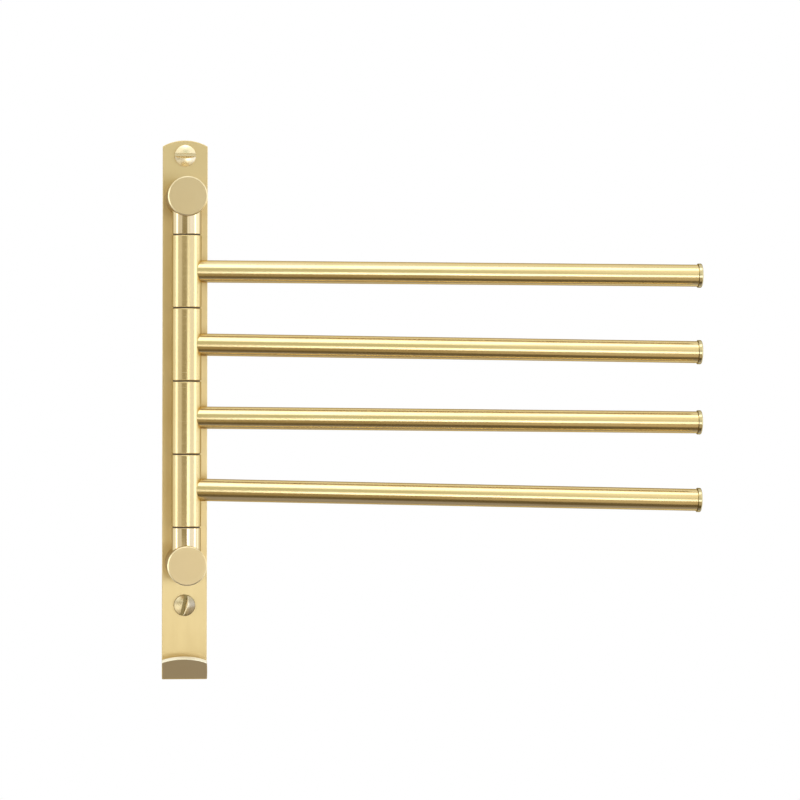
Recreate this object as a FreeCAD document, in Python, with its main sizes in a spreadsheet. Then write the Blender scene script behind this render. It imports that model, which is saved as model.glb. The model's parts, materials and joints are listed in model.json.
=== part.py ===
import FreeCAD, Part
import os
import Sketcher
from FreeCAD import Placement, Rotation, Vector

# Swing arm towel bar: four round arms that turn on one upright shaft, which two round posts
# hold off a flat back plate. The plate's lower end is folded forward and up into a hook.
#
# Millimetres and degrees. +Z is up. The wall is the plane Y = 0 and the rack stands out towards -Y.
# The origin is on the wall side of the plate, midway between its two wall screws, which is also
# the middle of the stack of barrels. At rest the arms point along +X.
#
# Each arm is a barrel on the shaft, a tube coped to fit the barrel, a stud that ties the two
# together, two bearing sleeves and a flanged cap. Washers keep the barrels apart.

X_WAY = Vector(1, 0, 0)
Y_WAY = Vector(0, 1, 0)

# Driving dimensions. Every other size and place is worked out from these.
SIZES = {
    # Back plate. The margin runs from the upper wall screw to the top of the arched end.
    "plate_width": 31.5,
    "plate_thickness": 3.0,
    "plate_end_margin": 10.7,
    "plate_end_arc": 32.0,
    "plate_corner_round": 1.0,
    "plate_edge_round": 0.5,
    # Hook. The drop runs from the lower wall screw to the underside of the fold, the lean is
    # measured from the upright and the lip's length along its slope from the fold's centre. The
    # skew is how far the lip's free end stands off to the left, as photographed.
    "hook_drop": 51.8,
    "hook_inner_radius": 2.0,
    "hook_lean": 45.0,
    "hook_lip_length": 19.7,
    "hook_lip_skew": 1.2,
    # Wall screws, one beyond each post.
    "wall_screw_beyond_post": 30.0,
    "wall_screw_shank": 5.0,
    "wall_screw_neck": 5.8,
    "wall_screw_reach": 32.0,
    "wall_screw_tip": 5.0,
    "wall_screw_head": 15.0,
    "wall_screw_rim": 0.9,
    "wall_screw_crown": 1.5,
    "wall_screw_slot_width": 3.4,
    "wall_screw_slot_depth": 1.7,
    "wall_screw_clearance": 0.25,
    # Posts. The standoffs run from the wall to the shaft's axis and to the posts' round faces.
    "post_diameter": 27.4,
    "post_face_standoff": 45.0,
    "post_edge_chamfer": 0.8,
    "shaft_standoff": 28.0,
    # Countersunk screws that hold the posts, two in each, one above the other.
    "post_screw_spacing": 14.0,
    "post_screw_shank": 5.0,
    "post_screw_length": 14.0,
    "post_screw_head": 9.6,
    "post_screw_sunk": 0.1,
    "post_screw_socket": 3.0,
    "post_screw_socket_depth": 1.6,
    "post_screw_clearance": 0.1,
    "tapped_hole_spare": 1.0,
    # Shaft, and how far each end goes into its post.
    "shaft_diameter": 10.0,
    "shaft_seat": 12.0,
    "shaft_end_chamfer": 0.6,
    "shaft_end_gap": 0.5,
    # Collars between the posts and the barrels, measured up to the posts' own axes. The inset is
    # how far their sides lie inside the barrels' sides.
    "collar_inset": 0.15,
    "collar_height": 25.8,
    "collar_bore_clearance": 0.3,
    "collar_edge_round": 0.35,
    # Washers between the barrels and at the stack's two ends, inset in the same way.
    "washer_thickness": 0.8,
    "washer_inset": 0.9,
    "washer_bore_clearance": 0.15,
    # Barrels and the bearing sleeves in their ends.
    "barrel_diameter": 20.6,
    "barrel_length": 50.0,
    "barrel_edge_round": 0.6,
    "barrel_bore_clearance": 0.6,
    "sleeve_length": 12.0,
    "sleeve_wall": 1.4,
    "running_clearance": 0.05,
    # Arm tubes, their studs and caps. The reach runs from the shaft's axis to the cap's end.
    "tube_diameter": 15.5,
    "tube_wall": 1.0,
    "arm_reach": 362.9,
    "stud_neck": 8.0,
    "stud_shoulder_gap": 0.4,
    "stud_length": 16.0,
    "cap_flange": 17.1,
    "cap_flange_thickness": 2.7,
    "cap_relief": 0.5,
    "cap_relief_depth": 0.6,
    "cap_edge_round": 0.9,
    "cap_spigot": 10.0,
    # Gap between pieces that are fitted tight to each other.
    "seat_clearance": 0.02,
    # Each arm is brazed a little off square, as photographed, so its free end hangs lower, and
    # the lowest one sits a little above its barrel's middle.
    "arm_1_sag": 0.2,
    "arm_2_sag": 0.7,
    "arm_3_sag": 0.5,
    "arm_4_sag": 1.24,
    "arm_4_rise": 0.7,
}
ARM_COUNT = 4

doc = FreeCAD.newDocument("swing_arm_towel_bar")
sheet = doc.addObject("Spreadsheet::Sheet", "dims")
for row, (alias, size) in enumerate(SIZES.items(), start=1):
    sheet.set(f"A{row}", alias.replace("_", " "))
    sheet.set(f"B{row}", str(size))
    sheet.setAlias(f"B{row}", alias)
doc.recompute()

# Places worked out from the driving dimensions, as expressions.
BARREL_RADIUS = "dims.barrel_diameter / 2"
COLLAR_RADIUS = f"({BARREL_RADIUS} - dims.collar_inset)"
BARREL_PITCH = "(dims.barrel_length + dims.washer_thickness)"
STACK_HALF = f"({ARM_COUNT} * {BARREL_PITCH} + dims.washer_thickness) / 2"
POST_RADIUS = "dims.post_diameter / 2"
POST_HEIGHT = f"({STACK_HALF} + dims.collar_height)"
SCREW_HEIGHT = f"({POST_HEIGHT} + dims.wall_screw_beyond_post)"
PLATE_TOP = f"({SCREW_HEIGHT} + dims.plate_end_margin)"
FOLD_RADIUS = "(dims.hook_inner_radius + dims.plate_thickness)"
FOLD_HEIGHT = f"({FOLD_RADIUS} - {SCREW_HEIGHT} - dims.hook_drop)"
SHAFT_RADIUS = "dims.shaft_diameter / 2"
SLEEVE_RADIUS = f"({SHAFT_RADIUS} + dims.sleeve_wall)"
BARREL_BORE = f"({SHAFT_RADIUS} + dims.barrel_bore_clearance)"
TUBE_RADIUS = "dims.tube_diameter / 2"
TUBE_BORE = f"({TUBE_RADIUS} - dims.tube_wall)"
TUBE_END = "(dims.arm_reach - dims.cap_flange_thickness - dims.cap_relief)"


def value(expression):
    """The present value of an expression."""
    return float(sheet.evalExpression(expression))


def bind(target, path, expression):
    """Tie one property, or one of its numbers, to an expression."""
    target.setExpression(path, expression)


# Sketching


def new_body(name):
    """An empty body under its own name."""
    body = doc.addObject("PartDesign::Body", name)
    body.Label = name
    return body


def new_sketch(body, name, plane):
    """A sketch on one of the body's own origin planes."""
    drawing = body.newObject("Sketcher::SketchObject", name)
    origin_plane = next(item for item in body.Origin.OriginFeatures if item.Role == plane)
    drawing.AttachmentSupport = [(origin_plane, "")]
    drawing.MapMode = "FlatFace"
    return drawing


def shift_sketch(drawing, across="0", up="0", out="0"):
    """Move a sketch along its own two axes and its normal, by expressions."""
    for letter, expression in zip("xyz", (across, up, out)):
        bind(drawing, f"AttachmentOffset.Base.{letter}", expression)


def tilt_sketch(drawing, axis, angle):
    """Turn a sketch about an axis of its own, by an expression."""
    drawing.AttachmentOffset = Placement(Vector(), Rotation(axis, value(angle)))
    bind(drawing, "AttachmentOffset.Rotation.Angle", angle)


def place_point(drawing, element, vertex, point):
    """Fix a point of a sketch element at a pair of expressions."""
    for kind, expression in zip(("DistanceX", "DistanceY"), point):
        rule = Sketcher.Constraint(kind, -1, 1, element, vertex, value(expression))
        index = drawing.addConstraint(rule)
        bind(drawing, f"Constraints[{index}]", expression)


def set_radius(drawing, element, expression):
    """Fix the radius of a circle or an arc."""
    index = drawing.addConstraint(Sketcher.Constraint("Radius", element, value(expression)))
    bind(drawing, f"Constraints[{index}]", expression)


def draw_circle(drawing, radius, centre=("0", "0")):
    """A circle by its centre and radius."""
    middle = Vector(value(centre[0]), value(centre[1]), 0)
    ring = Part.Circle(middle, Vector(0, 0, 1), value(radius))
    element = drawing.addGeometry(ring, False)
    place_point(drawing, element, 3, centre)
    set_radius(drawing, element, radius)


def arc_through(start, end, radius, bulge):
    """An arc of a given radius from start to end; bulge is the side it swells to."""
    middle = (start + end) * 0.5
    half = (end - start).Length / 2
    side = Vector(bulge[0], bulge[1], 0)
    rise = radius - max(radius * radius - half * half, 0) ** 0.5
    return Part.Arc(start, middle + side.normalize() * rise, end)


def draw_outline(drawing, corners, arcs=None):
    """A closed outline. arcs maps a corner's number to the radius and the swelling side of the
    arc that runs from it to the next corner; the other runs are straight."""
    arcs = arcs or {}
    spots = [Vector(value(across), value(up), 0) for across, up in corners]
    elements = []
    for number, start in enumerate(spots):
        end = spots[(number + 1) % len(spots)]
        if number in arcs:
            radius, bulge = arcs[number]
            run = arc_through(start, end, value(radius), bulge)
        else:
            run = Part.LineSegment(start, end)
        elements.append(drawing.addGeometry(run, False))
    # An arc's start and end depend on which way it turns, so they are found by place.
    ends = []
    for number, element in enumerate(elements):
        first = drawing.getPoint(element, 1)
        forward = first.distanceToPoint(spots[number]) < 1e-6
        ends.append((1, 2) if forward else (2, 1))
    for number, element in enumerate(elements):
        following = (number + 1) % len(elements)
        joined = Sketcher.Constraint(
            "Coincident", element, ends[number][1], elements[following], ends[following][0])
        drawing.addConstraint(joined)
        place_point(drawing, element, ends[number][0], corners[number])
        if number in arcs:
            set_radius(drawing, element, arcs[number][0])


# Features


def pad(body, drawing, length, both_ways=False):
    """Extrude a sketch."""
    feature = body.newObject("PartDesign::Pad", drawing.Name + "_pad")
    feature.Profile = drawing
    bind(feature, "Length", length)
    if both_ways:
        feature.SideType = "Symmetric"
    return feature


def cut(body, drawing, length=None, both_ways=False, forward=False):
    """Cut a sketch out of the body: to a length, or right through."""
    feature = body.newObject("PartDesign::Pocket", drawing.Name + "_cut")
    feature.Profile = drawing
    if length:
        bind(feature, "Length", length)
    else:
        feature.Type = "ThroughAll"
    if both_ways:
        feature.SideType = "Symmetric"
    feature.Reversed = forward
    return feature


def turn(body, drawing, axis):
    """Revolve a sketch about its own horizontal or vertical axis."""
    feature = body.newObject("PartDesign::Revolution", drawing.Name + "_turned")
    feature.Profile = drawing
    feature.ReferenceAxis = (drawing, [axis])
    feature.Angle = 360
    return feature


def named_edges(shape, wanted):
    """The names of the edges of a shape that pass a test."""
    return [f"Edge{number}" for number, edge in enumerate(shape.Edges, start=1) if wanted(edge)]


def is_sharp(shape, edge):
    """Whether the two faces beside an edge meet at an angle."""
    faces = shape.ancestorsOfType(edge, Part.Face)
    if len(faces) != 2:
        return False
    first, last = edge.ParameterRange
    spot = edge.valueAt((first + last) / 2)
    normals = [face.normalAt(*face.Surface.parameter(spot)) for face in faces]
    return normals[0].getAngle(normals[1]) > 0.2


def dress(body, kind, size, wanted=None):
    """Round or chamfer the last feature's edges that pass a test, or else all its sharp edges."""
    doc.recompute()
    base = body.Tip
    if wanted is None:
        def wanted(edge):
            return is_sharp(base.Shape, edge)
    feature = body.newObject(f"PartDesign::{kind}", f"{body.Name}_{kind.lower()}")
    feature.Base = (base, named_edges(base.Shape, wanted))
    bind(feature, "Size" if kind == "Chamfer" else "Radius", size)
    return feature


def is_rim(edge, radius, axis):
    """Whether an edge is a full circle of a radius about a direction."""
    curve = edge.Curve
    round_edge = curve.TypeId == "Part::GeomCircle" and edge.isClosed()
    return round_edge and abs(curve.Radius - radius) < 1e-4 and abs(curve.Axis * axis) > 0.999


# Back plate


def make_back_plate():
    """Flat strip with arched ends, its lower end folded forward and up into a hook."""
    body = new_body("back_plate")
    half_width = "dims.plate_width / 2"
    lean = "dims.hook_lean"

    # Side view: down the wall side, round the fold and up the front. The top is left long here
    # and trimmed below.
    blank_top = f"{PLATE_TOP} + dims.plate_corner_round"
    outer_fold = (
        f"-{FOLD_RADIUS} * (1 + cos({lean}))",
        f"{FOLD_HEIGHT} - {FOLD_RADIUS} * sin({lean})")
    inner_fold = (
        f"-{FOLD_RADIUS} - dims.hook_inner_radius * cos({lean})",
        f"{FOLD_HEIGHT} - dims.hook_inner_radius * sin({lean})")
    side = new_sketch(body, "plate_side", "YZ_Plane")
    draw_outline(
        side,
        [
            ("0", blank_top),
            ("0", FOLD_HEIGHT),
            outer_fold,
            inner_fold,
            ("-dims.plate_thickness", FOLD_HEIGHT),
            ("-dims.plate_thickness", blank_top),
        ],
        arcs={1: (FOLD_RADIUS, (-0.4, -1)), 3: ("dims.hook_inner_radius", (-0.4, -1))})
    pad(body, side, "dims.plate_width", both_ways=True)

    # The lip goes on up its own slope from the fold, also left long. Its sides leave the fold
    # square and bend away slightly to the left.
    blank_lip = "(dims.hook_lip_length + dims.plate_corner_round)"
    bend = "((dims.hook_lip_length ^ 2 + dims.hook_lip_skew ^ 2) / (2 * dims.hook_lip_skew))"
    blank_skew = f"({bend} - sqrt({bend} ^ 2 - {blank_lip} ^ 2))"
    lip = new_sketch(body, "plate_lip", "XZ_Plane")
    tilt_sketch(lip, X_WAY, lean)
    shift_sketch(lip, up=inner_fold[1], out=f"-({inner_fold[0]})")
    draw_outline(
        lip,
        [
            (f"-{half_width}", "0"),
            (half_width, "0"),
            (f"{half_width} - {blank_skew}", blank_lip),
            (f"-{half_width} - {blank_skew}", blank_lip),
        ],
        arcs={1: (bend, (1, 0)), 3: (bend, (1, 0))})
    pad(body, lip, "dims.plate_thickness")

    # Both ends are trimmed to the same shallow arch: the top square to the wall, the lip square
    # to its own slope.
    reach = f"({half_width} + 1)"
    drop = f"(dims.plate_end_arc - sqrt(dims.plate_end_arc ^ 2 - {reach} ^ 2))"
    for name, apex in (("plate_top_arch", PLATE_TOP), ("plate_lip_arch", "dims.hook_lip_length")):
        arch = new_sketch(body, name, "XZ_Plane")
        off_middle = "0"
        if name == "plate_lip_arch":
            tilt_sketch(arch, X_WAY, lean)
            shift_sketch(arch, up=FOLD_HEIGHT, out=FOLD_RADIUS)
            off_middle = "dims.hook_lip_skew"
        draw_outline(
            arch,
            [
                (f"{reach} - {off_middle}", f"{apex} - {drop}"),
                (f"{reach} - {off_middle}", f"{apex} + {drop}"),
                (f"-{reach} - {off_middle}", f"{apex} + {drop}"),
                (f"-{reach} - {off_middle}", f"{apex} - {drop}"),
            ],
            arcs={3: ("dims.plate_end_arc", (0, 1))})
        cut(body, arch, forward=True)

    # The arches' corners, then every edge of the strip, are eased.
    doc.recompute()
    blank = body.Tip.Shape

    def is_corner(edge):
        straight = edge.Curve.TypeId == "Part::GeomLine"
        short = edge.Length < value("dims.plate_thickness * 1.01")
        return straight and short and is_sharp(blank, edge)

    dress(body, "Fillet", "dims.plate_corner_round", is_corner)
    dress(body, "Fillet", "dims.plate_edge_round")

    # Wall screw holes.
    wall_holes = new_sketch(body, "wall_screw_holes", "XZ_Plane")
    for height in (SCREW_HEIGHT, f"-{SCREW_HEIGHT}"):
        draw_circle(
            wall_holes, "dims.wall_screw_neck / 2 + dims.wall_screw_clearance", ("0", height))
    cut(body, wall_holes, "dims.plate_thickness * 2", forward=True)

    # Post screw holes, countersunk from the wall side.
    post_holes = new_sketch(body, "post_screw_holes", "XZ_Plane")
    hole_radius = "(dims.post_screw_shank / 2 + dims.post_screw_clearance)"
    for height in post_screw_heights():
        draw_circle(post_holes, hole_radius, ("0", height))
    doc.recompute()
    holes = body.newObject("PartDesign::Hole", "post_screw_sinks")
    holes.Profile = post_holes
    doc.recompute()
    holes.DepthType = "Dimension"
    bind(holes, "Depth", "dims.plate_thickness * 2")
    holes.DrillPoint = "Flat"
    bind(holes, "Diameter", f"2 * {hole_radius}")
    holes.HoleCutType = "Countersink"
    bind(holes, "HoleCutDiameter", "dims.post_screw_head + 2 * dims.post_screw_clearance")
    holes.HoleCutCountersinkAngle = 90
    holes.Reversed = True
    return body


def post_screw_heights():
    """Heights of the four screws that hold the posts."""
    offset = "dims.post_screw_spacing / 2"
    return [f"{side}{POST_HEIGHT} {sign} {offset}" for side in ("", "-") for sign in ("+", "-")]


# Screws


def make_wall_screw(name, height, slot_turn):
    """Domed screw with a wide slot; its neck fills the plate's hole, its shank the wall's."""
    body = new_body(name)
    seat = "dims.plate_thickness"
    rim = f"({seat} + dims.wall_screw_rim)"
    crown = f"({rim} + dims.wall_screw_crown)"
    head = "dims.wall_screw_head / 2"
    neck = "dims.wall_screw_neck / 2"
    shank = "dims.wall_screw_shank / 2"
    sphere = f"(({head}) ^ 2 + dims.wall_screw_crown ^ 2) / (2 * dims.wall_screw_crown)"
    half = new_sketch(body, name + "_half", "YZ_Plane")
    draw_outline(
        half,
        [
            (f"-{crown}", "0"),
            (f"-{rim}", head),
            (f"-{seat}", head),
            (f"-{seat}", neck),
            ("0", neck),
            ("0", shank),
            ("dims.wall_screw_reach - dims.wall_screw_tip", shank),
            ("dims.wall_screw_reach", "0"),
        ],
        arcs={0: (sphere, (-1, 0.6))})
    turn(body, half, "H_Axis")
    slot = new_sketch(body, name + "_slot", "XZ_Plane")
    across = "dims.wall_screw_head"
    half_slot = "dims.wall_screw_slot_width / 2"
    draw_outline(slot, [
        (f"-{across}", f"-{half_slot}"),
        (across, f"-{half_slot}"),
        (across, half_slot),
        (f"-{across}", half_slot),
    ])
    shift_sketch(slot, out=f"{crown} - dims.wall_screw_slot_depth")
    cut(body, slot, forward=True)
    body.Placement = Placement(Vector(), Rotation(Y_WAY, slot_turn))
    bind(body, "Placement.Base.z", height)
    return body


def make_post_screw(name, height):
    """Countersunk screw with a hexagon socket, from the back of the plate into a post."""
    body = new_body(name)
    head = "dims.post_screw_head / 2"
    shank = "dims.post_screw_shank / 2"
    sunk = "dims.post_screw_sunk"
    half = new_sketch(body, name + "_half", "YZ_Plane")
    draw_outline(half, [
        (f"-{sunk}", "0"),
        (f"-{sunk}", head),
        (f"-{sunk} - {head} + {shank}", shank),
        ("-dims.post_screw_length", shank),
        ("-dims.post_screw_length", "0"),
    ])
    turn(body, half, "H_Axis")
    socket = new_sketch(body, name + "_socket", "XZ_Plane")
    corner = "(dims.post_screw_socket / sqrt(3))"
    draw_outline(socket, [
        (f"{corner} * cos({turn_by})", f"{corner} * sin({turn_by})")
        for turn_by in range(0, 360, 60)
    ])
    cut(body, socket, f"dims.post_screw_socket_depth + {sunk}", forward=True)
    bind(body, "Placement.Base.z", height)
    return body


def group(name, bodies):
    """Identical fasteners as one node of separate solids."""
    together = doc.addObject("Part::Compound", name)
    together.Label = name
    together.Links = bodies
    return together


# Posts, collars and shaft


def stand_at(body, height, upside_down):
    """Put a piece at a height above the origin, or turned over as far below it."""
    if upside_down:
        body.Placement = Placement(Vector(), Rotation(Y_WAY, 180))
    bind(body, "Placement.Base.z", f"-{height}" if upside_down else height)


def make_post(name, upside_down):
    """Turned post from the plate to its round face, bored from the side for the shaft."""
    body = new_body(name)
    back = "dims.plate_thickness"
    front = "dims.post_face_standoff"
    edge = "dims.post_edge_chamfer"
    half = new_sketch(body, name + "_half", "YZ_Plane")
    draw_outline(half, [
        (f"-{back}", "0"),
        (f"-{back}", f"{POST_RADIUS}"),
        (f"-{front} + {edge}", POST_RADIUS),
        (f"-{front}", f"{POST_RADIUS} - {edge}"),
        (f"-{front}", "0"),
    ])
    turn(body, half, "H_Axis")

    bore = new_sketch(body, name + "_bore", "XY_Plane")
    bore_end = f"dims.shaft_seat + dims.shaft_end_gap - {POST_RADIUS}"
    draw_circle(bore, f"{SHAFT_RADIUS} + dims.seat_clearance", ("0", "-dims.shaft_standoff"))
    shift_sketch(bore, out=bore_end)
    cut(body, bore)

    tapped = new_sketch(body, name + "_tapped", "XZ_Plane")
    for sign in ("", "-"):
        draw_circle(
            tapped,
            "dims.post_screw_shank / 2 + dims.seat_clearance",
            ("0", f"{sign}dims.post_screw_spacing / 2"))
    cut(body, tapped, "dims.post_screw_length + dims.tapped_hole_spare", forward=True)
    stand_at(body, POST_HEIGHT, upside_down)
    return body


def make_collar(name, upside_down):
    """Spacer tube on the shaft, its far end hollowed to sit on the round post."""
    body = new_body(name)
    ring = new_sketch(body, name + "_ring", "XY_Plane")
    centre = ("0", "-dims.shaft_standoff")
    draw_circle(ring, COLLAR_RADIUS, centre)
    draw_circle(ring, f"{SHAFT_RADIUS} + dims.collar_bore_clearance", centre)
    shift_sketch(ring, out="-dims.collar_height")
    pad(body, ring, "dims.collar_height")
    radius = value(COLLAR_RADIUS)

    def is_washer_end(edge):
        low = edge.BoundBox.ZMax < value("0.5 - dims.collar_height")
        return low and is_rim(edge, radius, Vector(0, 0, 1))

    dress(body, "Fillet", "dims.collar_edge_round", is_washer_end)
    saddle = new_sketch(body, name + "_saddle", "XZ_Plane")
    draw_circle(saddle, f"{POST_RADIUS} + dims.seat_clearance")
    cut(body, saddle, both_ways=True)
    stand_at(body, POST_HEIGHT, upside_down)
    return body


def make_pivot_shaft():
    """Round bar that every barrel turns on, with both ends in the posts."""
    body = new_body("pivot_shaft")
    section = new_sketch(body, "shaft_section", "XY_Plane")
    draw_circle(section, SHAFT_RADIUS, ("0", "-dims.shaft_standoff"))
    pad(body, section, f"2 * ({POST_HEIGHT} - {POST_RADIUS} + dims.shaft_seat)", both_ways=True)
    dress(body, "Chamfer", "dims.shaft_end_chamfer")
    return body


def make_washer(number):
    """Thin washer above barrel number, or below the last barrel."""
    name = f"washer_{number}"
    body = new_body(name)
    ring = new_sketch(body, name + "_ring", "XY_Plane")
    centre = ("0", "-dims.shaft_standoff")
    draw_circle(ring, f"{BARREL_RADIUS} - dims.washer_inset", centre)
    draw_circle(ring, f"{SHAFT_RADIUS} + dims.washer_bore_clearance", centre)
    pad(body, ring, "dims.washer_thickness")
    underside = f"{STACK_HALF} - dims.washer_thickness - {number - 1} * {BARREL_PITCH}"
    bind(body, "Placement.Base.z", underside)
    return body


# Arms. A barrel is upright; the pieces along an arm lie on its own X axis, tilted by the sag.


def arm_height(number):
    """Height of the middle of a barrel, counted from the top of the stack."""
    return f"{STACK_HALF} - {number - 0.5} * {BARREL_PITCH} - dims.washer_thickness / 2"


def hang_on_shaft(body, number, sag=None, lift="0"):
    """Put a piece of an arm on the shaft's axis at its barrel's middle, tilted by the sag."""
    if sag:
        body.Placement = Placement(Vector(), Rotation(Y_WAY, value(sag)))
        bind(body, "Placement.Rotation.Angle", sag)
    bind(body, "Placement.Base.y", "-dims.shaft_standoff")
    bind(body, "Placement.Base.z", f"{arm_height(number)} + {lift}")


def make_barrel(number, sag, rise):
    """Knuckle on the shaft: recessed for a sleeve at each end, holed for the arm's stud."""
    name = f"arm_{number}_barrel"
    body = new_body(name)
    half_length = "dims.barrel_length / 2"
    recess = f"({SLEEVE_RADIUS} + dims.seat_clearance)"
    recess_end = f"({half_length} - dims.sleeve_length)"
    half = new_sketch(body, name + "_half", "XZ_Plane")
    draw_outline(half, [
        (recess, f"-{half_length}"),
        (BARREL_RADIUS, f"-{half_length}"),
        (BARREL_RADIUS, half_length),
        (recess, half_length),
        (recess, recess_end),
        (BARREL_BORE, recess_end),
        (BARREL_BORE, f"-{recess_end}"),
        (recess, f"-{recess_end}"),
    ])
    turn(body, half, "V_Axis")
    radius = value(BARREL_RADIUS)

    def is_end(edge):
        return is_rim(edge, radius, Vector(0, 0, 1))

    dress(body, "Fillet", "dims.barrel_edge_round", is_end)
    stud_hole = new_sketch(body, name + "_stud_hole", "YZ_Plane")
    draw_circle(stud_hole, "dims.stud_neck / 2 + dims.seat_clearance")
    tilt_sketch(stud_hole, X_WAY, sag)
    shift_sketch(stud_hole, up=rise)
    cut(body, stud_hole, "dims.barrel_diameter", forward=True)
    hang_on_shaft(body, number)
    return body


def make_sleeve(number, end, sign):
    """Plain bearing sleeve, flush with one end of its barrel."""
    name = f"arm_{number}_{end}_sleeve"
    body = new_body(name)
    ring = new_sketch(body, name + "_ring", "XY_Plane")
    draw_circle(ring, SLEEVE_RADIUS)
    draw_circle(ring, f"{SHAFT_RADIUS} + dims.running_clearance")
    pad(body, ring, "dims.sleeve_length", both_ways=True)
    hang_on_shaft(body, number, lift=f"{sign} * (dims.barrel_length - dims.sleeve_length) / 2")
    return body


def make_tube(number, sag, rise):
    """Arm tube, its root coped to the round of the barrel."""
    name = f"arm_{number}_tube"
    body = new_body(name)
    ring = new_sketch(body, name + "_ring", "YZ_Plane")
    draw_circle(ring, TUBE_RADIUS)
    draw_circle(ring, TUBE_BORE)
    pad(body, ring, TUBE_END)
    cope = new_sketch(body, name + "_cope", "XY_Plane")
    draw_circle(cope, f"{BARREL_RADIUS} + dims.seat_clearance")
    tilt_sketch(cope, Vector(0, -1, 0), sag)
    cut(body, cope, both_ways=True)
    hang_on_shaft(body, number, sag, rise)
    return body


def make_stud(number, sag, rise):
    """Stud whose neck sits in the barrel's wall and whose body fills the tube's root."""
    name = f"arm_{number}_stud"
    body = new_body(name)
    shoulder = f"({BARREL_RADIUS} + dims.stud_shoulder_gap)"
    neck = "dims.stud_neck / 2"
    barrel = f"{TUBE_BORE} - dims.seat_clearance"
    half = new_sketch(body, name + "_half", "XZ_Plane")
    draw_outline(half, [
        (f"{BARREL_BORE} + dims.stud_shoulder_gap", "0"),
        (f"{shoulder} + dims.stud_length", "0"),
        (f"{shoulder} + dims.stud_length", barrel),
        (shoulder, barrel),
        (shoulder, neck),
        (f"{BARREL_BORE} + dims.stud_shoulder_gap", neck),
    ])
    turn(body, half, "H_Axis")
    hang_on_shaft(body, number, sag, rise)
    return body


def make_cap(number, sag, rise):
    """Flanged cap: a spigot inside the tube, a narrow relief and a rounded flange."""
    name = f"arm_{number}_cap"
    body = new_body(name)
    spigot = f"{TUBE_BORE} - dims.seat_clearance"
    relief = f"{TUBE_RADIUS} - dims.cap_relief_depth"
    flange_start = f"{TUBE_END} + dims.cap_relief"
    half = new_sketch(body, name + "_half", "XZ_Plane")
    draw_outline(half, [
        (f"{TUBE_END} - dims.cap_spigot", "0"),
        ("dims.arm_reach", "0"),
        ("dims.arm_reach", "dims.cap_flange / 2"),
        (flange_start, "dims.cap_flange / 2"),
        (flange_start, relief),
        (TUBE_END, relief),
        (TUBE_END, spigot),
        (f"{TUBE_END} - dims.cap_spigot", spigot),
    ])
    turn(body, half, "H_Axis")
    radius = value("dims.cap_flange / 2")
    outer_face = value("dims.arm_reach")

    def is_outer_rim(edge):
        return abs(edge.BoundBox.XMax - outer_face) < 1e-4 and is_rim(edge, radius, X_WAY)

    dress(body, "Fillet", "dims.cap_edge_round", is_outer_rim)
    hang_on_shaft(body, number, sag, rise)
    return body


# The whole rack


def make_rack():
    """Every piece, each as one node."""
    nodes = [make_back_plate()]
    nodes.append(group("wall_screws", [
        make_wall_screw("upper_wall_screw", SCREW_HEIGHT, 0),
        make_wall_screw("lower_wall_screw", f"-{SCREW_HEIGHT}", 102),
    ]))
    nodes.append(group("post_screws", [
        make_post_screw(f"post_screw_{number}", height)
        for number, height in enumerate(post_screw_heights(), start=1)
    ]))
    for end, upside_down in (("upper", False), ("lower", True)):
        nodes.append(make_post(f"{end}_post", upside_down))
        nodes.append(make_collar(f"{end}_collar", upside_down))
    nodes.append(make_pivot_shaft())
    for number in range(1, ARM_COUNT + 2):
        nodes.append(make_washer(number))
    for number in range(1, ARM_COUNT + 1):
        sag = f"dims.arm_{number}_sag"
        rise = "dims.arm_4_rise" if number == 4 else "0"
        nodes.append(make_barrel(number, sag, rise))
        nodes.append(make_sleeve(number, "upper", "1"))
        nodes.append(make_sleeve(number, "lower", "-1"))
        nodes.append(make_tube(number, sag, rise))
        nodes.append(make_stud(number, sag, rise))
        nodes.append(make_cap(number, sag, rise))
    return nodes


def check(nodes):
    """Stop if any object failed to build or any node has a bad shape."""
    for item in doc.Objects:
        if "Invalid" in item.State or "Error" in item.State:
            raise RuntimeError(f"{item.Name} did not build: {item.State}")
    for node in nodes:
        if node.Shape.isNull() or not node.Shape.isValid():
            raise RuntimeError(f"{node.Label} has no valid shape")


rack = make_rack()
doc.recompute()
check(rack)
os.makedirs("parts", exist_ok=True)
for node in rack:
    node.Shape.exportStep(f"parts/{node.Label}.step")
    solids = len(node.Shape.Solids)
    print(f"{node.Label}: {solids} solid(s), {node.Shape.Volume:.1f} mm3")
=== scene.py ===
import json
import math
import bmesh
import bpy
from mathutils import Matrix, Vector


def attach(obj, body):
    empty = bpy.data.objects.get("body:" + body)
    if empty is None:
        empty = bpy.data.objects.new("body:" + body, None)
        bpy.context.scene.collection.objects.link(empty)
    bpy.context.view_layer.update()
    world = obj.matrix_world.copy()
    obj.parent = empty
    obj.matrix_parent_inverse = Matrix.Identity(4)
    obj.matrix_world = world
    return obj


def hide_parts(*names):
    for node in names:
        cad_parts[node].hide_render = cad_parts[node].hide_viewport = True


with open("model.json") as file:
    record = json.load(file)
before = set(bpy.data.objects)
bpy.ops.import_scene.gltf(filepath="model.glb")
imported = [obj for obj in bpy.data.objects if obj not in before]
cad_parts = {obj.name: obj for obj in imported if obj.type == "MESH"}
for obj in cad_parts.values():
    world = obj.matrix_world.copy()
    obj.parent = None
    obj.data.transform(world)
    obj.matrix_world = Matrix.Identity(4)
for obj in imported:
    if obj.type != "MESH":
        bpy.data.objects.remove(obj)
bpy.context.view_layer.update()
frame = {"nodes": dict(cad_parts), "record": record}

# Swing arm towel bar in brushed pale gold. Metres. +Z is up, the wall is the plane Y = 0 and the
# rack stands out towards -Y. At rest the arms point along +X.

FINE = 192

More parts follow.
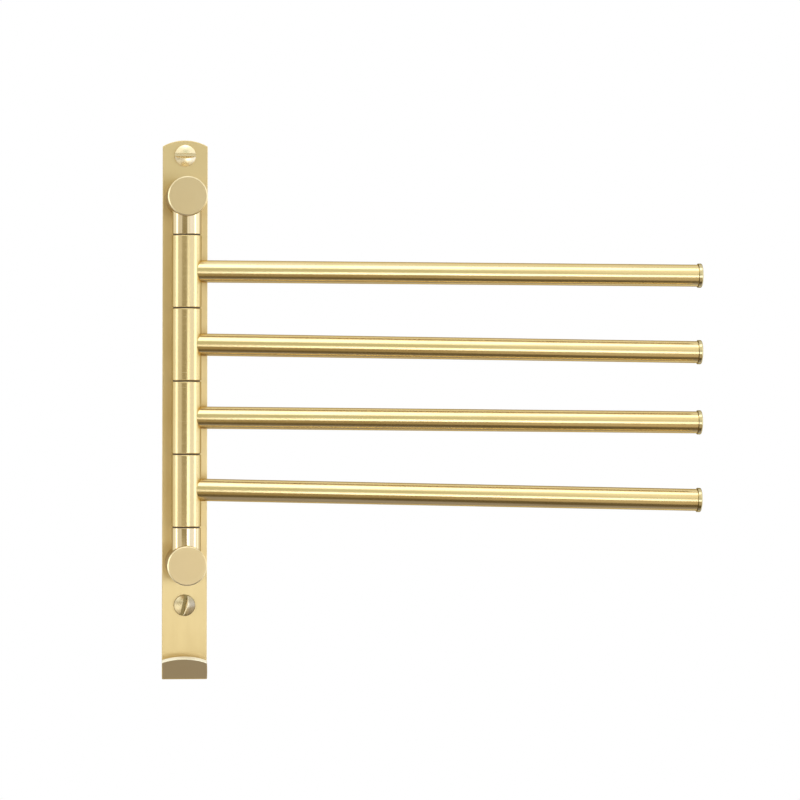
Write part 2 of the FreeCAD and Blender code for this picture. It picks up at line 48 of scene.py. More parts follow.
# Sizes, as in the solid model. First the stack on the shaft, from which the heights follow.
PLATE_THICKNESS = 0.003
SHAFT_Y = -0.028
BARREL_RADIUS = 0.0103
BARREL_LENGTH = 0.050
WASHER_THICKNESS = 0.0008
WASHER_RADIUS = 0.0094
WASHER_BORE = 0.00515
BARREL_PITCH = BARREL_LENGTH + WASHER_THICKNESS
STACK_HALF = (4 * BARREL_PITCH + WASHER_THICKNESS) / 2
POST_HEIGHT = STACK_HALF + 0.0258
SCREW_HEIGHT = POST_HEIGHT + 0.030
POST_RADIUS = 0.0137
POST_CHAMFER = 0.0008
POST_FACE = -0.045

# The hook at the plate's foot: its fold, its leaning lip and the middle of the lip's arched end.
PLATE_END_ARC = 0.032
LIP_LEAN = math.radians(45)
LIP_LENGTH = 0.0197
LIP_SKEW = 0.0012
FOLD_RADIUS = 0.005
FOLD_HEIGHT = FOLD_RADIUS - SCREW_HEIGHT - 0.0518
ALONG_LIP = LIP_LENGTH - PLATE_END_ARC
ARCH_MIDDLE = (-LIP_SKEW, -FOLD_RADIUS - ALONG_LIP * math.sin(LIP_LEAN),
               FOLD_HEIGHT + ALONG_LIP * math.cos(LIP_LEAN))

# The arms: each sags by its own few tenths of a degree, and the lowest sits a little high.
TUBE_RADIUS = 0.00775
TUBE_WALL = 0.001
SADDLE_CLEARANCE = 0.00002
ARM_REACH = 0.3629
CAP_FLANGE = 0.0027
CAP_RELIEF = 0.0005
TUBE_END = ARM_REACH - CAP_FLANGE - CAP_RELIEF
SAGS = {1: 0.2, 2: 0.7, 3: 0.5, 4: 1.24}
RISES = {4: 0.0007}

# The wall screws, and the screws that hold the posts.
WALL_SCREW_HEAD = 0.0075
WALL_SCREW_RIM = 0.0009
WALL_SCREW_RISE = 0.0015
LOWER_SLOT_TURN = math.radians(-78)
POST_SCREW_SPACING = 0.014


# Mesh code


def finish_mesh(name, builder, sharp=35):
    """A mesh object from a bmesh: normals outwards, smooth but for its sharp edges."""
    bmesh.ops.remove_doubles(builder, verts=builder.verts, dist=1e-7)
    bmesh.ops.recalc_face_normals(builder, faces=builder.faces)
    mesh = bpy.data.meshes.new(name)
    builder.to_mesh(mesh)
    builder.free()
    mesh.shade_smooth()
    mesh.set_sharp_from_angle(angle=math.radians(sharp))
    piece = bpy.data.objects.new(name, mesh)
    bpy.context.scene.collection.objects.link(piece)
    return piece


def turned(section, place, steps=FINE):
    """A closed section, given as radius and height, swept round the Z axis and put in place."""
    builder = bmesh.new()
    rings = []
    for step in range(steps):
        angle = 2 * math.pi * step / steps
        ring = []
        for radius, height in section:
            spot = Vector((radius * math.cos(angle), radius * math.sin(angle), height))
            ring.append(builder.verts.new(place @ spot))
        rings.append(ring)
    count = len(section)
    for step in range(steps):
        here = rings[step]
        there = rings[(step + 1) % steps]
        for spot in range(count):
            following = (spot + 1) % count
            if section[spot][0] < 1e-9 and section[following][0] < 1e-9:
                continue
            builder.faces.new((here[spot], there[spot], there[following], here[following]))
    return builder


FORWARD = Matrix.Rotation(math.radians(90), 4, "X")


def arm_place(number):
    """Where arm number's own X axis lies: through its barrel's middle, tilted by its sag."""
    height = STACK_HALF - (number - 0.5) * BARREL_PITCH - WASHER_THICKNESS / 2
    tilt = Matrix.Rotation(math.radians(SAGS[number]), 4, "Y")
    return Matrix.Translation((0, SHAFT_Y, height + RISES.get(number, 0))) @ tilt


# Node code, for materials and for Geometry Nodes alike


def add_node(tree, kind, sources=None, **settings):
    """A node with its settings; sources maps a socket to a number or to another node's output."""
    node = tree.nodes.new(kind)
    for setting, choice in settings.items():
        setattr(node, setting, choice)
    for socket, source in (sources or {}).items():
        if isinstance(source, bpy.types.NodeSocket):
            tree.links.new(source, node.inputs[socket])
        else:
            node.inputs[socket].default_value = source
    return node


def work_out(tree, operation, *operands):
    """One step of arithmetic on numbers and other nodes' outputs."""
    sources = dict(enumerate(operands))
    return add_node(tree, "ShaderNodeMath", sources, operation=operation).outputs[0]


def hypotenuse(tree, side, other):
    """The root of two numbers' squares, added."""
    squares = [work_out(tree, "POWER", number, 2) for number in (side, other)]
    return work_out(tree, "SQRT", work_out(tree, "ADD", *squares))


def blend(tree, share, here, there):
    """One colour that turns into another; each is a tone or another node's output."""
    return add_node(tree, "ShaderNodeMix", {
        "Factor": share, "A": here, "B": there}, data_type="RGBA").outputs["Result"]


def fade_in(tree, number, start, end):
    """0 where a number is at its start, 1 where it is at its end and an even slope between."""
    return add_node(tree, "ShaderNodeMapRange", {
        "Value": number, "From Min": start, "From Max": end}).outputs[0]


# Finishes


def brushed(name, colour, other, roughness, lines, depth, patches=18, swing=0.05):
    """Metal finish. lines says how closely its brush marks lie along each axis, per metre, and
    other is the tone that its faint patches drift towards."""
    material = bpy.data.materials.new(name)
    material.use_nodes = True
    tree = material.node_tree
    shader = tree.nodes["Principled BSDF"]
    place = add_node(tree, "ShaderNodeTexCoord").outputs["Object"]
    drawn = add_node(tree, "ShaderNodeMapping", {"Vector": place, "Scale": lines}).outputs[0]
    marks = add_node(tree, "ShaderNodeTexNoise", {
        "Vector": drawn, "Scale": 1, "Detail": 4, "Roughness": 0.65}).outputs[0]
    drift = add_node(tree, "ShaderNodeTexNoise", {
        "Vector": place, "Scale": patches, "Detail": 2, "Roughness": 0.5}).outputs[0]
    tone = blend(tree, fade_in(tree, drift, 0.35, 0.65), (*colour, 1), (*other, 1))
    tree.links.new(tone, shader.inputs["Base Color"])
    finish = add_node(tree, "ShaderNodeMapRange", {
        "Value": marks, "From Min": 0.3, "From Max": 0.7,
        "To Min": roughness - swing, "To Max": roughness + swing}).outputs[0]
    tree.links.new(finish, shader.inputs["Roughness"])
    bump = add_node(tree, "ShaderNodeBump", {
        "Height": marks, "Strength": 1, "Distance": depth}).outputs[0]
    tree.links.new(bump, shader.inputs["Normal"])
    shader.inputs["Metallic"].default_value = 1
    shader.inputs["Specular Tint"].default_value = (*colour, 1)
    return material


def parts_of(material):
    """A finish's node tree, its shader, the place that it reads and its tone so far."""
    tree = material.node_tree
    shader = tree.nodes["Principled BSDF"]
    place = next(node for node in tree.nodes if node.type == "TEX_COORD").outputs["Object"]
    return tree, shader, place, shader.inputs["Base Color"].links[0].from_socket


PALE_GOLD = (0.76, 0.61, 0.32)
DEEP_GOLD = (0.74, 0.58, 0.29)
# Painted highlight: the paler tone of the posts' face chamfers.
CHAMFER_HIGHLIGHT = (0.82, 0.70, 0.43)
# Painted highlight: the pale cream of the lip's cut end.
LIP_END_HIGHLIGHT = (0.96, 0.90, 0.70)


def plate_finish(name, roughness):
    """Plate: brushed from end to end, with a painted highlight of pale cream on the arched cut end
    of the hook's lip.
    """
    material = brushed(
        name, PALE_GOLD, DEEP_GOLD, roughness, (700, 700, 30), 3e-7, swing=0.03)
    tree, shader, place, tone = parts_of(material)
    # From the middle of the arch, seen square to the lip.
    turned_lip = add_node(tree, "ShaderNodeMapping", {
        "Vector": place, "Location": ARCH_MIDDLE, "Rotation": (LIP_LEAN, 0, 0)},
        vector_type="TEXTURE").outputs[0]
    apart = add_node(tree, "ShaderNodeSeparateXYZ", {"Vector": turned_lip}).outputs
    from_middle = hypotenuse(tree, apart["X"], apart["Z"])
    # Painted highlight: the lip's arched cut end is painted pale cream, for the light that it
    # catches from above.
    end_highlight = fade_in(tree, from_middle, PLATE_END_ARC - 0.0005, PLATE_END_ARC - 0.0003)
    forward = add_node(tree, "ShaderNodeSeparateXYZ", {"Vector": place}).outputs["Y"]
    on_lip = work_out(tree, "LESS_THAN", forward, -0.012)
    tone_with_highlight = blend(tree, work_out(tree, "MULTIPLY", end_highlight, on_lip), tone, (*LIP_END_HIGHLIGHT, 1))
    tree.links.new(tone_with_highlight, shader.inputs["Base Color"])
    # Upright brush marks spread what the plate mirrors sideways.
    sideways = add_node(tree, "ShaderNodeCombineXYZ", {"X": 1}).outputs[0]
    tree.links.new(sideways, shader.inputs["Tangent"])
    shader.inputs["Anisotropic"].default_value = 0.8
    return material


def turned_face(name, colour, other, roughness):
    """Posts: fine rings about each post's own axis, which is level and runs to the wall, and a
    painted highlight, a paler tone, on the chamfer round the face."""
    material = brushed(name, colour, other, roughness, (1, 1, 1), 6e-7)
    tree, shader, place, tone = parts_of(material)
    drawn = next(node for node in tree.nodes if node.type == "MAPPING")
    apart = add_node(tree, "ShaderNodeSeparateXYZ", {"Vector": place}).outputs
    height = work_out(tree, "SUBTRACT", work_out(tree, "ABSOLUTE", apart["Z"]), POST_HEIGHT)
    from_axis = hypotenuse(tree, apart["X"], height)
    rings = add_node(tree, "ShaderNodeCombineXYZ", {
        "X": work_out(tree, "MULTIPLY", from_axis, 4200),
        "Y": work_out(tree, "MULTIPLY", apart["Y"], 2500)})
    for link in list(drawn.outputs[0].links):
        tree.links.new(rings.outputs[0], link.to_socket)
    tree.nodes.remove(drawn)
    # Painted highlight: the chamfer round the face is painted paler all round.
    chamfer = POST_RADIUS - POST_CHAMFER
    near_face = work_out(tree, "LESS_THAN", apart["Y"], POST_FACE + POST_CHAMFER)
    chamfer_highlight = work_out(
        tree, "MULTIPLY", near_face, fade_in(tree, from_axis, chamfer, chamfer + 0.0001))
    tree.links.new(blend(tree, chamfer_highlight, tone, (*CHAMFER_HIGHLIGHT, 1)), shader.inputs["Base Color"])
    return material


def matt(name, colour, other, roughness, grain):
    """Moulded plastic: a faint grain and a slow drift of tone."""
    material = brushed(name, colour, other, roughness, (grain, grain, grain), 4e-6)
    shader = material.node_tree.nodes["Principled BSDF"]
    shader.inputs["Metallic"].default_value = 0
    shader.inputs["Specular Tint"].default_value = (1, 1, 1, 1)
    return material


def slotted_gold(name, roughness):
    """Wall screws: their slots carry painted shade and their rims a painted shadow line. The lower
    screw has painted shade to the right of its slot, and its slot's painted shade is the darker
    one."""
    material = brushed(
        name, (0.93, 0.83, 0.60), (0.88, 0.76, 0.50), roughness, (500, 500, 500), 4e-7)
    tree, shader, place, tone = parts_of(material)
    at = add_node(tree, "ShaderNodeSeparateXYZ", {"Vector": place}).outputs
    lower = work_out(tree, "LESS_THAN", at["Z"], 0)
    # Painted shade: the lower screw is darker to the right of its slot.
    right = fade_in(tree, at["X"], 0.0015, 0.0035)
    right_shade = blend(tree, work_out(tree, "MULTIPLY", lower, right), tone, (0.52, 0.45, 0.32, 1))
    # Painted shade in the slot and painted shadow on the rim; the lower screw's is darker.
    slot = blend(tree, lower, (0.72, 0.60, 0.37, 1), (0.25, 0.19, 0.08, 1))
    # The dome starts at the rim's top. What lies deeper is slot or rim.
    rim_top = -PLATE_THICKNESS - WALL_SCREW_RIM
    deep = fade_in(tree, at["Y"], rim_top - 0.0002, rim_top)
    tree.links.new(blend(tree, deep, right_shade, slot), shader.inputs["Base Color"])
    return material


# The brush marks run round the barrels and collars and along the arms and the plate.
finishes = {
    "plate": plate_finish("plate_gold", 0.39),
    "posts": turned_face("post_gold", (0.67, 0.535, 0.31), (0.65, 0.51, 0.28), 0.33),
    "collars": brushed(
        "collar_gold", (0.82, 0.68, 0.42), (0.79, 0.64, 0.38), 0.09, (60, 60, 2600), 2e-7,
        swing=0.02),
    "barrels": brushed("barrel_gold", PALE_GOLD, DEEP_GOLD, 0.23, (60, 60, 2600), 5e-7),
    "tubes": brushed("tube_gold", PALE_GOLD, DEEP_GOLD, 0.20, (40, 2600, 2600), 5e-7),
    "caps": brushed(
        "cap_gold", (0.61, 0.525, 0.31), (0.59, 0.50, 0.28), 0.15, (2600, 60, 60), 3e-7,
        swing=0.03),
    "wall_screws": slotted_gold("screw_gold", 0.28),
    "inner_steel": brushed(
        "turned_steel", (0.62, 0.62, 0.63), (0.57, 0.57, 0.59), 0.30, (50, 50, 2000), 1e-6),
    "washers": matt("washer_fibre", (0.10, 0.07, 0.035), (0.07, 0.05, 0.025), 0.60, 1500),
    "sleeves": matt("sleeve_plastic", (0.78, 0.77, 0.72), (0.72, 0.70, 0.64), 0.45, 900),
}


def finish_nodes():
    """Give every node of the solid model its slot's finish."""
    slots = {row["node"]: row["material_slot"] for row in frame["record"]["subparts"]}
    for name, node in frame["nodes"].items():
        node.data.materials.clear()
        node.data.materials.append(finishes[slots[name]])


# Geometry Nodes


def new_tree(name, sizes):
    """An empty tree with its named inputs, and the outputs that they arrive on."""
    tree = bpy.data.node_groups.new(name, "GeometryNodeTree")
    tree.interface.new_socket("Geometry", in_out="INPUT", socket_type="NodeSocketGeometry")
    for title, kind in sizes.items():
        tree.interface.new_socket(title, in_out="INPUT", socket_type="NodeSocket" + kind)
    tree.interface.new_socket("Geometry", in_out="OUTPUT", socket_type="NodeSocketGeometry")
    return tree, tree.nodes.new("NodeGroupInput").outputs


def end_tree(tree, shape, material):
    """Make instances real and give the shape its finish."""
    real = add_node(tree, "GeometryNodeRealizeInstances", {"Geometry": shape}).outputs[0]
    dressed = add_node(tree, "GeometryNodeSetMaterial", {"Geometry": real, "Material": material})
    output = tree.nodes.new("NodeGroupOutput")
    tree.links.new(dressed.outputs[0], output.inputs[0])
    return tree


def grow(name, tree, sizes, place=Matrix.Identity(4)):
    """Run a tree with these sizes and keep its result as a plain mesh, put in place."""
    seed = bpy.data.objects.new(name + "_seed", bpy.data.meshes.new(name + "_seed"))
    bpy.context.scene.collection.objects.link(seed)
    modifier = seed.modifiers.new(tree.name, "NODES")
    modifier.node_group = tree
    for socket in tree.interface.items_tree:
        if socket.in_out == "INPUT" and socket.name in sizes:
            modifier[socket.identifier] = sizes[socket.name]
    ready = seed.evaluated_get(bpy.context.evaluated_depsgraph_get())
    grown = bpy.data.meshes.new_from_object(ready)
    seed.modifiers.remove(modifier)
    builder = bmesh.new()
    builder.from_mesh(grown)
    bmesh.ops.transform(builder, matrix=place, verts=builder.verts)
    piece = finish_mesh(name, builder)
    for material in grown.materials:
        piece.data.materials.append(material)
    bpy.data.objects.remove(seed)
    return piece


def coped_tube_tree():
    """An arm tube along X. A grid is rolled up: across it runs the way round the tube, and up it
    the outer wall, the far rim, the inner wall and the root rim. The root's points lie on the
    upright barrel, which the arm meets at its sag."""
    tree, size = new_tree("coped_tube", {
        "Barrel Radius": "Float", "Tube Radius": "Float", "Wall": "Float", "Length": "Float",
        "Sag": "Float", "Steps": "Int"})
    grid = add_node(tree, "GeometryNodeMeshGrid", {
        "Size X": 1, "Size Y": 4, "Vertices X": size["Steps"], "Vertices Y": 5}).outputs[0]
    at = add_node(tree, "ShaderNodeSeparateXYZ", {
        "Vector": tree.nodes.new("GeometryNodeInputPosition").outputs[0]}).outputs
    way_round = work_out(tree, "MULTIPLY", at["X"], 2 * math.pi)
    corner = work_out(tree, "ADD", at["Y"], 2)
    # Corners 2 and 3 are the inner wall's, corners 1 and 2 the far end's.
    inner = work_out(tree, "COMPARE", corner, 2.5, 0.6)
    far = work_out(tree, "COMPARE", corner, 1.5, 0.6)
    bore = work_out(tree, "SUBTRACT", size["Tube Radius"], size["Wall"])
    inset = work_out(tree, "MULTIPLY", inner, size["Wall"])
    radius = work_out(tree, "MAXIMUM", bore, work_out(tree, "SUBTRACT", size["Tube Radius"], inset))
    across = work_out(tree, "MULTIPLY", radius, work_out(tree, "COSINE", way_round))
    height = work_out(tree, "MULTIPLY", radius, work_out(tree, "SINE", way_round))
    # On the barrel x * x + y * y = r * r, with x level; the tube's own axis dips by the sag.
    level = work_out(tree, "SQRT", work_out(
        tree, "SUBTRACT", work_out(tree, "POWER", size["Barrel Radius"], 2),
        work_out(tree, "POWER", across, 2)))
    dip = work_out(tree, "MULTIPLY", height, work_out(tree, "SINE", size["Sag"]))
    root = work_out(
        tree, "DIVIDE", work_out(tree, "SUBTRACT", level, dip),
        work_out(tree, "COSINE", size["Sag"]))
    run = work_out(tree, "SUBTRACT", size["Length"], root)
    along = work_out(tree, "ADD", root, work_out(tree, "MULTIPLY", far, run))
    spot = add_node(tree, "ShaderNodeCombineXYZ", {"X": along, "Y": across, "Z": height}).outputs[0]
    rolled = add_node(tree, "GeometryNodeSetPosition", {"Geometry": grid, "Position": spot})
    joined = add_node(tree, "GeometryNodeMergeByDistance", {
        "Geometry": rolled.outputs[0], "Distance": 1e-7})
    return end_tree(tree, joined.outputs[0], finishes["tubes"])


def washer_stack_tree():
    """Flat rings, one above the other: a small oblong swept round a circle, then repeated."""
    tree, size = new_tree("washer_stack", {
        "Radius": "Float", "Bore": "Float", "Thickness": "Float", "Pitch": "Float",
        "Count": "Int", "Steps": "Int"})
    middle = work_out(tree, "MULTIPLY", work_out(tree, "ADD", size["Radius"], size["Bore"]), 0.5)
    width = work_out(tree, "SUBTRACT", size["Radius"], size["Bore"])
    ring = add_node(tree, "GeometryNodeCurvePrimitiveCircle", {
        "Radius": middle, "Resolution": size["Steps"]}).outputs[0]
    section = add_node(tree, "GeometryNodeCurvePrimitiveQuadrilateral", {
        "Width": width, "Height": size["Thickness"]}).outputs[0]
    washer = add_node(tree, "GeometryNodeCurveToMesh", {
        "Curve": ring, "Profile Curve": section}).outputs[0]
    step = add_node(tree, "ShaderNodeCombineXYZ", {"Z": size["Pitch"]}).outputs[0]
    spots = add_node(tree, "GeometryNodeMeshLine", {"Count": size["Count"], "Offset": step})
    stack = add_node(tree, "GeometryNodeInstanceOnPoints", {
        "Points": spots.outputs[0], "Instance": washer})
    return end_tree(tree, stack.outputs[0], finishes["washers"])


def screw_rows_tree(name, material):
    """Copies of one screw down a line, in rows: each next screw is turned a little further."""
    tree, size = new_tree(name, {
        "Screw": "Object", "Rows": "Int", "Row Spacing": "Float", "Screws": "Int",
        "Screw Spacing": "Float", "Turn": "Float"})
    screw = add_node(tree, "GeometryNodeObjectInfo", {"Object": size["Screw"]}).outputs["Geometry"]
    lines = []
    for count, spacing in (("Rows", "Row Spacing"), ("Screws", "Screw Spacing")):
        gaps = work_out(tree, "SUBTRACT", size[count], 1)
        top = work_out(tree, "MULTIPLY", work_out(tree, "MULTIPLY", gaps, size[spacing]), 0.5)
        down = work_out(tree, "MULTIPLY", size[spacing], -1)
        lines.append(add_node(tree, "GeometryNodeMeshLine", {
            "Count": size[count],
            "Start Location": add_node(tree, "ShaderNodeCombineXYZ", {"Z": top}).outputs[0],
            "Offset": add_node(tree, "ShaderNodeCombineXYZ", {"Z": down}).outputs[0]}).outputs[0])
    row = add_node(tree, "GeometryNodeInstanceOnPoints", {"Points": lines[1], "Instance": screw})
    order = tree.nodes.new("GeometryNodeInputIndex").outputs[0]
    turn = add_node(tree, "ShaderNodeCombineXYZ", {
        "Y": work_out(tree, "MULTIPLY", order, size["Turn"])}).outputs[0]
    rows = add_node(tree, "GeometryNodeInstanceOnPoints", {
        "Points": lines[0], "Instance": row.outputs[0], "Rotation": turn})
    return end_tree(tree, rows.outputs[0], material)


# Pieces


def take_over(piece, *nodes):
    """Show a piece in place of the solid model's nodes, on their body."""
    record = frame["record"]
    body = next(name for name, held in record["behaviour"]["bodies"].items() if nodes[0] in held)
    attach(piece, body)
    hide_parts(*nodes)


def make_tubes():
    tree = coped_tube_tree()
    for number, sag in SAGS.items():
        tube = grow(f"coped_tube_{number}", tree, {
            "Barrel Radius": BARREL_RADIUS + SADDLE_CLEARANCE, "Tube Radius": TUBE_RADIUS,
            "Wall": TUBE_WALL, "Length": TUBE_END, "Sag": math.radians(sag),
            "Steps": FINE + 1}, arm_place(number))
        take_over(tube, f"arm_{number}_tube")


def make_washers():
    lowest = Matrix.Translation((0, SHAFT_Y, WASHER_THICKNESS / 2 - STACK_HALF))
    washers = grow("washer_stack", washer_stack_tree(), {
        "Radius": WASHER_RADIUS, "Bore": WASHER_BORE, "Thickness": WASHER_THICKNESS,
        "Pitch": BARREL_PITCH, "Count": 5, "Steps": FINE}, lowest)
    take_over(washers, *(f"washer_{number}" for number in range(1, 6)))


def cut_away(piece, cutter):
    """Cut one mesh out of another, for good."""
    modifier = piece.modifiers.new("cut", "BOOLEAN")
    modifier.object = cutter
    modifier.solver = "EXACT"
    ready = piece.evaluated_get(bpy.context.evaluated_depsgraph_get())
    shape = bpy.data.meshes.new_from_object(ready)
    name = piece.name
    bpy.data.objects.remove(piece)
    bpy.data.objects.remove(cutter)
    builder = bmesh.new()
    builder.from_mesh(shape)
    return finish_mesh(name, builder)


def block(name, depths, *outlines):
    """A closed block between two depths along Y, each with its own outline in X and Z."""
    builder = bmesh.new()
    ends = [[builder.verts.new((x, y, z)) for x, z in corners]
            for y, corners in zip(depths, outlines)]
    corners = outlines[0]
    builder.faces.new(ends[0])
    builder.faces.new(ends[1])
    for number in range(len(corners)):
        after = (number + 1) % len(corners)
        builder.faces.new((ends[0][number], ends[0][after], ends[1][after], ends[1][number]))
    return finish_mesh(name, builder)


def wall_screw():
    """Domed screw with a wide slot, its head on the plate's face and its axis on Y."""
    head, rise = WALL_SCREW_HEAD, WALL_SCREW_RISE
    crown = PLATE_THICKNESS + WALL_SCREW_RIM + rise
    neck, shank, reach, tip = 0.0029, 0.0025, 0.032, 0.005
    sphere = (head ** 2 + rise ** 2) / (2 * rise)
    steps = 16
    dome = []
    for step in range(steps + 1):
        radius = head * (1 - step / steps)
        dome.append((radius, crown - sphere + math.sqrt(sphere ** 2 - radius ** 2)))
    section = [(0, -reach), (shank, tip - reach), (shank, 0), (neck, 0), (neck, PLATE_THICKNESS),
               (head, PLATE_THICKNESS)] + dome
    screw = finish_mesh("wall_screw", turned(section, FORWARD, FINE // 2))
    # The slot is cut from its floor to above the crown. Its upper wall is steep, and its lower
    # one slopes away from the floor.
    deep, spare, across = 0.0017, 0.0005, head * 2
    steep, slope_start, slope_end = 0.0017, -0.0005, -0.0026
    outlines = []
    for low in (slope_start, slope_end):
        outlines.append([(-across, low), (across, low), (across, steep), (-across, steep)])
    return cut_away(screw, block("slot", (deep - crown, -crown - spare), *outlines))


def post_screw():
    """Countersunk screw with a hexagon socket, its head at the plate's back and its axis on Y."""
    head, shank, sunk, length = 0.0048, 0.0025, 0.0001, 0.014
    across_flats, socket_depth, spare = 0.003, 0.0016, 0.001
    section = [(0, sunk), (head, sunk), (shank, sunk + head - shank), (shank, length), (0, length)]
    screw = finish_mesh("post_screw", turned(section, FORWARD, FINE // 3))
    corner = across_flats / math.sqrt(3)
    turns = [math.radians(60 * number) for number in range(6)]
    corners = [(corner * math.cos(turn), corner * math.sin(turn)) for turn in turns]
    return cut_away(screw, block("socket", (-sunk - socket_depth, spare), corners, corners))


def make_screws():
    rows = {"Rows": 2, "Row Spacing": 2 * SCREW_HEIGHT, "Screws": 1, "Screw Spacing": 0.0,
            "Turn": LOWER_SLOT_TURN}
    one = wall_screw()
    tree = screw_rows_tree("wall_screw_rows", finishes["wall_screws"])
    take_over(grow("slotted_screws", tree, {"Screw": one, **rows}), "wall_screws")
    bpy.data.objects.remove(one)
    rows = {"Rows": 2, "Row Spacing": 2 * POST_HEIGHT, "Screws": 2,
            "Screw Spacing": POST_SCREW_SPACING, "Turn": 0.0}
    one = post_screw()
    tree = screw_rows_tree("post_screw_rows", finishes["inner_steel"])
    take_over(grow("socket_screws", tree, {"Screw": one, **rows}), "post_screws")
    bpy.data.objects.remove(one)


# Studio: a white surround, lamps for the highlights and dark cards for the shades between them


def towards(azimuth, elevation, distance):
    """A place seen from the rack: azimuth 0 is in front of it, and grows to its right."""
    side, up = math.radians(azimuth), math.radians(elevation)
    return Vector((
        distance * math.cos(up) * math.sin(side), -distance * math.cos(up) * math.cos(side),
        distance * math.sin(up)))


def add_lamp(name, azimuth, elevation, distance, wide, tall, level, colour=(1, 1, 1)):
    """A soft lamp that faces the rack. level is how bright it looks, where white paper is 1."""
    data = bpy.data.lights.new(name, "AREA")
    data.shape = "RECTANGLE"
    data.size, data.size_y = wide, tall
    data.energy = level * math.pi * wide * tall
    data.color = colour
    lamp = bpy.data.objects.new(name, data)
    bpy.context.scene.collection.objects.link(lamp)
    lamp.location = towards(azimuth, elevation, distance)
    lamp.rotation_euler = lamp.location.to_track_quat("Z", "Y").to_euler()
    lamp.visible_camera = False
    return lamp


def add_card(name, sides, heights, distance, colour):
    """A curved card that only polished metal sees: a patch of a globe about the rack, between
    two azimuths and two elevations, fading out at its edges."""
    builder = bmesh.new()
    fade = builder.verts.layers.float.new("fade")
    steps = 24
    grid = []
    for across in range(steps + 1):
        row = []
        for up in range(steps + 1):
            spot = builder.verts.new(towards(
                sides[0] + (sides[1] - sides[0]) * across / steps,
                heights[0] + (heights[1] - heights[0]) * up / steps, distance))
            edge = min(across, steps - across, up, steps - up) / steps
            if sides[1] - sides[0] == 360:
                edge = (steps - up) / steps
            spot[fade] = min(1, edge / 0.16)
            row.append(spot)
        grid.append(row)
    for across in range(steps):
        for up in range(steps):
            builder.faces.new((
                grid[across][up], grid[across + 1][up], grid[across + 1][up + 1],
                grid[across][up + 1]))
    card = finish_mesh(name, builder, 180)
    material = bpy.data.materials.new(name)
    material.use_nodes = True
    tree = material.node_tree
    tree.nodes.clear()
    share = add_node(tree, "ShaderNodeAttribute", attribute_name="fade").outputs["Fac"]
    clear = tree.nodes.new("ShaderNodeBsdfTransparent").outputs[0]
    glow = add_node(tree, "ShaderNodeEmission", {"Color": (*colour, 1), "Strength": 1}).outputs[0]
    mixed = add_node(tree, "ShaderNodeMixShader", {0: share, 1: clear, 2: glow}).outputs[0]
    tree.links.new(mixed, tree.nodes.new("ShaderNodeOutputMaterial").inputs[0])
    card.data.materials.append(material)
    for ray in ("camera", "diffuse", "shadow", "transmission"):
        setattr(card, "visible_" + ray, False)


def light_studio():
    # Lamps: azimuth, elevation, distance, width, height, brightness and colour.
    cool = (0.88, 0.95, 1.0)
    add_lamp("overhead", 5, 59, 2.0, 2.6, 1.2, 1.6, cool)
    add_lamp("left", -85, 2, 2.0, 0.5, 2.0, 1.6, cool)
    add_lamp("right", 70, 2, 2.0, 0.6, 2.0, 1.6, cool)
    add_lamp("front", 14, -7.5, 2.4, 0.8, 0.54, 2.4, cool)
    # Cards: azimuths, elevations, distance and colour. Nearer cards hide farther ones.
    add_card("right_card", (18, 64), (-17, 12), 2.3, (1.08, 1.12, 1.30))
    add_card("front_left_card", (-42, 5), (-10, 9), 1.9, (0.34, 0.29, 0.18))
    add_card("left_card", (-72, -36), (-32, 34), 2.0, (0.80, 0.78, 0.76))
    add_card("low_card", (-80, 95), (-50, -13), 1.15, (0.40, 0.31, 0.17))
    add_card("lower_card", (-80, 95), (-72, -42), 1.1, (0.15, 0.12, 0.07))
    add_card("under_card", (-180, 180), (-90, -50), 1.2, (0.40, 0.38, 0.42))
    add_card("high_card", (-50, 70), (7, 37), 2.1, (0.66, 0.70, 0.55))
    add_card("high_right_card", (14, 64), (11, 52), 1.9, (1.15, 1.12, 1.02))
    add_card("high_left_card", (-56, -3), (11, 52), 1.9, (1.10, 1.06, 0.92))
    add_card("low_right_card", (16, 64), (-48, -17), 1.1, (0.66, 0.56, 0.40))
    add_card("low_left_card", (-60, -6), (-48, -12), 1.1, (0.72, 0.62, 0.45))
    add_card("rim_card", (85, 106), (-52, 52), 1.0, (1.40, 1.45, 1.55))
    add_card("screw_card", (-46, -6), (-40, -15), 0.5, (1.15, 1.10, 0.90))
    add_card("ceiling_card", (-180, 180), (78, 90), 1.9, (1.20, 1.26, 1.38))
    add_card("rear_card", (122, 238), (-60, 50), 2.1, (0.50, 0.46, 0.36))


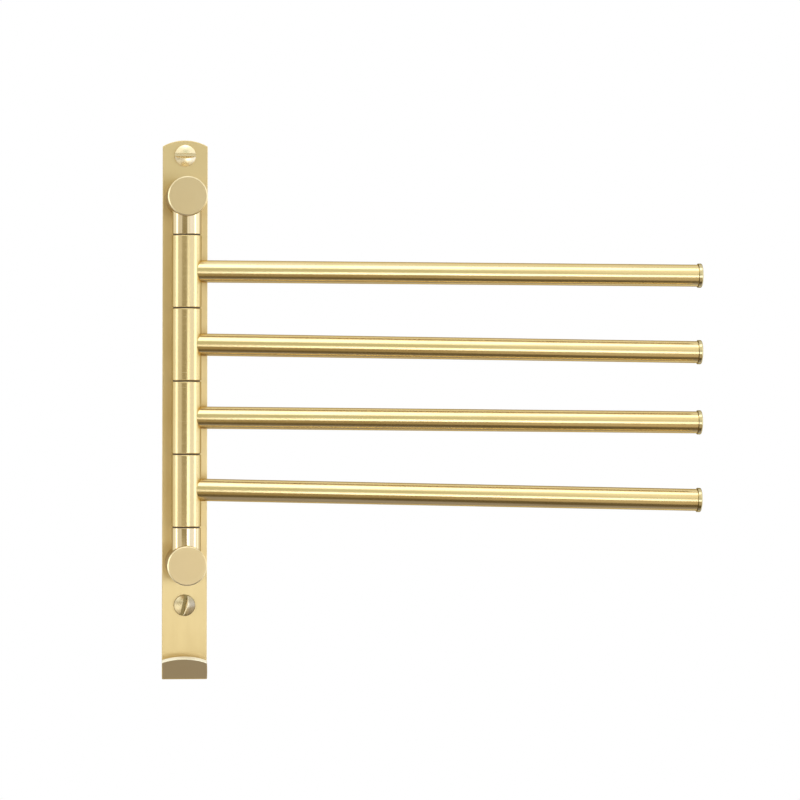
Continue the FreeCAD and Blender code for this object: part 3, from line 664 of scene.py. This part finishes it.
def show_white(tree, otherwise, white, output):
    """White where the camera, metal or glass looks, and another shader for every other ray."""
    ray = tree.nodes.new("ShaderNodeLightPath").outputs
    looks = work_out(tree, "MAXIMUM", ray["Is Camera Ray"], work_out(
        tree, "MAXIMUM", ray["Is Glossy Ray"], ray["Is Transmission Ray"]))
    mixed = add_node(tree, "ShaderNodeMixShader", {0: looks, 1: otherwise, 2: white}).outputs[0]
    tree.links.new(mixed, tree.nodes[output].inputs["Surface"])


def surround_with_white():
    """White where the camera or the metal looks past the rack, and a plainer light elsewhere."""
    world = bpy.data.worlds.new("studio")
    bpy.context.scene.world = world
    world.use_nodes = True
    tree = world.node_tree
    seen = tree.nodes["Background"]
    seen.inputs["Color"].default_value = (1, 1, 1, 1)
    fill = add_node(tree, "ShaderNodeBackground", {"Color": (1, 1, 1, 1), "Strength": 0.7})
    show_white(tree, fill.outputs[0], seen.outputs[0], "World Output")


def lay_floor():
    """A plain pale disc below the rack, out of the main view."""
    builder = bmesh.new()
    bmesh.ops.create_circle(
        builder, cap_ends=True, segments=96, radius=1.8,
        matrix=Matrix.Translation((0.15, 0, -1.3)))
    floor = finish_mesh("floor", builder)
    material = bpy.data.materials.new("pale_floor")
    material.use_nodes = True
    tree = material.node_tree
    shader = tree.nodes["Principled BSDF"]
    shader.inputs["Base Color"].default_value = (0.85, 0.85, 0.85, 1)
    shader.inputs["Roughness"].default_value = 0.9
    white = add_node(tree, "ShaderNodeEmission", {"Color": (1, 1, 1, 1), "Strength": 1})
    show_white(tree, shader.outputs[0], white.outputs[0], "Material Output")
    floor.data.materials.append(material)


def add_camera():
    """A long lens, a little to the left of the plate. Both lengths are in the picture's pixels."""
    focal_length, picture_width = 3554, 800
    nod, roll, turn_right = 0.75, 0.155, 6.01
    data = bpy.data.cameras.new("camera")
    data.sensor_width = 36
    data.lens = focal_length / picture_width * data.sensor_width
    data.clip_end = 20
    camera = bpy.data.objects.new("camera", data)
    bpy.context.scene.collection.objects.link(camera)
    camera.location = (-0.1111, -2.5, 0.0195)
    camera.rotation_euler = (
        math.radians(90 - nod), math.radians(-roll), math.radians(-turn_right))
    bpy.context.scene.camera = camera


finish_nodes()
make_tubes()
make_washers()
make_screws()
light_studio()
surround_with_white()
lay_floor()
add_camera()
bpy.context.scene.view_settings.view_transform = "Standard"
